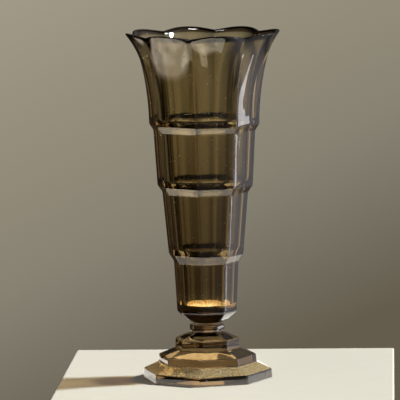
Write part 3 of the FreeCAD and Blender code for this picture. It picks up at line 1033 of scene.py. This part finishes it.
# %% What the glass mirrors
TABLE_SLOPE = 0.4
TABLE_START, TABLE_FULL = -0.76, -0.84
SHADE_SCALE = 4.0
SHADE_START, SHADE_END = 0.38, 0.62
TABLE_GLARE = 4.5
TABLE_TONES = [
    (SHADE_START, (0.50, 0.42, 0.31)),
    (SHADE_END, (0.80, 0.70, 0.55)),
]
MIRRORED_TONES = [
    (-0.9, (0.008, 0.007, 0.006)),
    (-0.08, (0.02, 0.017, 0.015)),
    (0.0, (0.15, 0.13, 0.11)),
    (0.5, (0.12, 0.11, 0.10)),
    (0.85, (0.85, 0.82, 0.85)),
]

mirrored = colours(room, across, -1.0, 1.0, MIRRORED_TONES)
sloping = value_node(room, "MULTIPLY_ADD", across, TABLE_SLOPE, upward)
down = spread(room, sloping, TABLE_START, TABLE_FULL)
below = value_node(room, "MULTIPLY", down, rays["Is Reflection Ray"])
shade = clouds(room, towards, SHADE_SCALE, 1.0)
table = colours(room, shade, SHADE_START, SHADE_END, TABLE_TONES)
glare = value_node(room, "MULTIPLY_ADD", below, TABLE_GLARE, 1.0)
print("mirrored room:", len(MIRRORED_TONES), "tones, table:", len(TABLE_TONES), "tones")

# %% [markdown]
# The room's colours are only for what the camera and the glass see. Its light on the objects stays
# dim and even.

# %% Light of the room
ROOM_LIGHT = (0.95, 0.97, 1.0, 1)
ROOM_LIGHT_STRENGTH = 0.08

seen_colour = mixed(room, rays["Is Camera Ray"], bent, wall)
seen_colour = mixed(room, rays["Is Reflection Ray"], seen_colour, mirrored)
seen_colour = mixed(room, below, seen_colour, table)
seen = room.nodes.new("ShaderNodeBackground")
room.links.new(seen_colour, seen.inputs["Color"])
room.links.new(glare, seen.inputs["Strength"])
light = room.nodes.new("ShaderNodeBackground")
light.inputs["Color"].default_value = ROOM_LIGHT
light.inputs["Strength"].default_value = ROOM_LIGHT_STRENGTH
looked_at = value_node(room, "MAXIMUM", rays["Is Camera Ray"], rays["Is Glossy Ray"])
looked_at = value_node(room, "MAXIMUM", looked_at, rays["Is Transmission Ray"])
either = room.nodes.new("ShaderNodeMixShader")
room.links.new(looked_at, either.inputs["Fac"])
room.links.new(light.outputs["Background"], either.inputs[1])
room.links.new(seen.outputs["Background"], either.inputs[2])
output = room.nodes.new("ShaderNodeOutputWorld")
room.links.new(either.outputs["Shader"], output.inputs["Surface"])
print("world:", len(room.nodes), "nodes")

# %% [markdown]
# A hard warm lamp at the right, like a low sun, casts the shadow. A weak soft one fills from the
# left. Four more are only there to be mirrored as highlights.

# %% Lamps that light and mark the glass


def softbox(name, angle, height_angle, distance, size, power, colour=(1, 1, 1)):
    """Flat lamp, size wide and high, aimed at the vase's middle, at angles from the camera's side."""
    lamp = bpy.data.lights.new(name, "AREA")
    lamp.shape = "RECTANGLE"
    lamp.size, lamp.size_y = size
    lamp.energy = power
    lamp.color = colour
    item = bpy.data.objects.new(name, lamp)
    bpy.context.scene.collection.objects.link(item)
    side = VIEW_ANGLE + math.radians(angle)
    up = math.radians(height_angle)
    level_share = math.cos(up)
    direction = Vector((math.sin(side) * level_share, -math.cos(side) * level_share, math.sin(up)))
    middle = Vector((0, 0, RIM_LEVEL / 2 * MM))
    item.location = middle + direction * distance
    item.rotation_euler = direction.to_track_quat("Z", "Y").to_euler()
    return item


COOL = (0.96, 0.95, 1.0)
softbox("key", 101, 38, 5.0, (0.42, 0.42), 360.0, (1.0, 0.97, 0.90))
softbox("fill", -60, 40, 1.8, (0.9, 0.9), 1.0)
highlights = [
    softbox("window", 12, 40, 1.8, (0.9, 0.6), 8.0),
    softbox("overhead", 20, 82, 1.8, (0.5, 0.3), 8.0),
    softbox("corner strip", 85, -12, 1.5, (0.07, 0.7), 1.9, COOL),
    softbox("side strip", 113.5, -12, 1.5, (0.06, 0.8), 0.6, COOL),
]
for lamp in highlights:
    lamp.visible_diffuse = False
    lamp.visible_transmission = False
print("highlights:", [lamp.name for lamp in highlights])

# %% [markdown]
# Two lamps are flagged off everything but the foot. The solid glass gathers the big one behind it
# into gold, and the soft warm one in front lifts the lowest tread.

# %% Lamps for the foot
back = softbox("back", 175, 13, 1.8, (1.4, 0.78), 5.8, (1.0, 0.95, 0.88))
low_light = softbox("low light", -25, 35, 1.8, (0.4, 0.4), 12.0, (1.0, 0.84, 0.62))
low_light.visible_transmission = False
foot_only = bpy.data.collections.new("foot_only")
foot_only.objects.link(foot)
for lamp in (back, low_light):
    lamp.visible_glossy = False
    lamp.light_linking.receiver_collection = foot_only
print("only for the foot:", back.name, "and", low_light.name)

# %% [markdown]
# A narrow lamp high above shines down the mouth on the dull golden floor of the cavity, which with
# its painted glow is what makes the bottom of the bowl glow.

# %% Lamp down the mouth
SNOOT_HEIGHT = 1.5
SNOOT_ANGLE = math.radians(1.9)

snoot_data = bpy.data.lights.new("snoot", "SPOT")
snoot_data.energy = 240.0
snoot_data.spot_size = SNOOT_ANGLE
snoot_data.spot_blend = 0.6
snoot_data.shadow_soft_size = 0.01
snoot = bpy.data.objects.new("snoot", snoot_data)
bpy.context.scene.collection.objects.link(snoot)
snoot.location = (0, 0, SNOOT_HEIGHT)

# %% [markdown]
# Light crosses many walls of glass on its way, so it may bend many times before it is given up.
# Caustics stay off: they would only add bright grains.

# %% Light paths
cycles = bpy.context.scene.cycles
cycles.max_bounces = 24
cycles.transmission_bounces = 24
cycles.glossy_bounces = 12
cycles.transparent_max_bounces = 24
cycles.caustics_reflective = False
cycles.caustics_refractive = False
bpy.context.scene.view_settings.view_transform = "Standard"
print("bounces:", cycles.max_bounces)
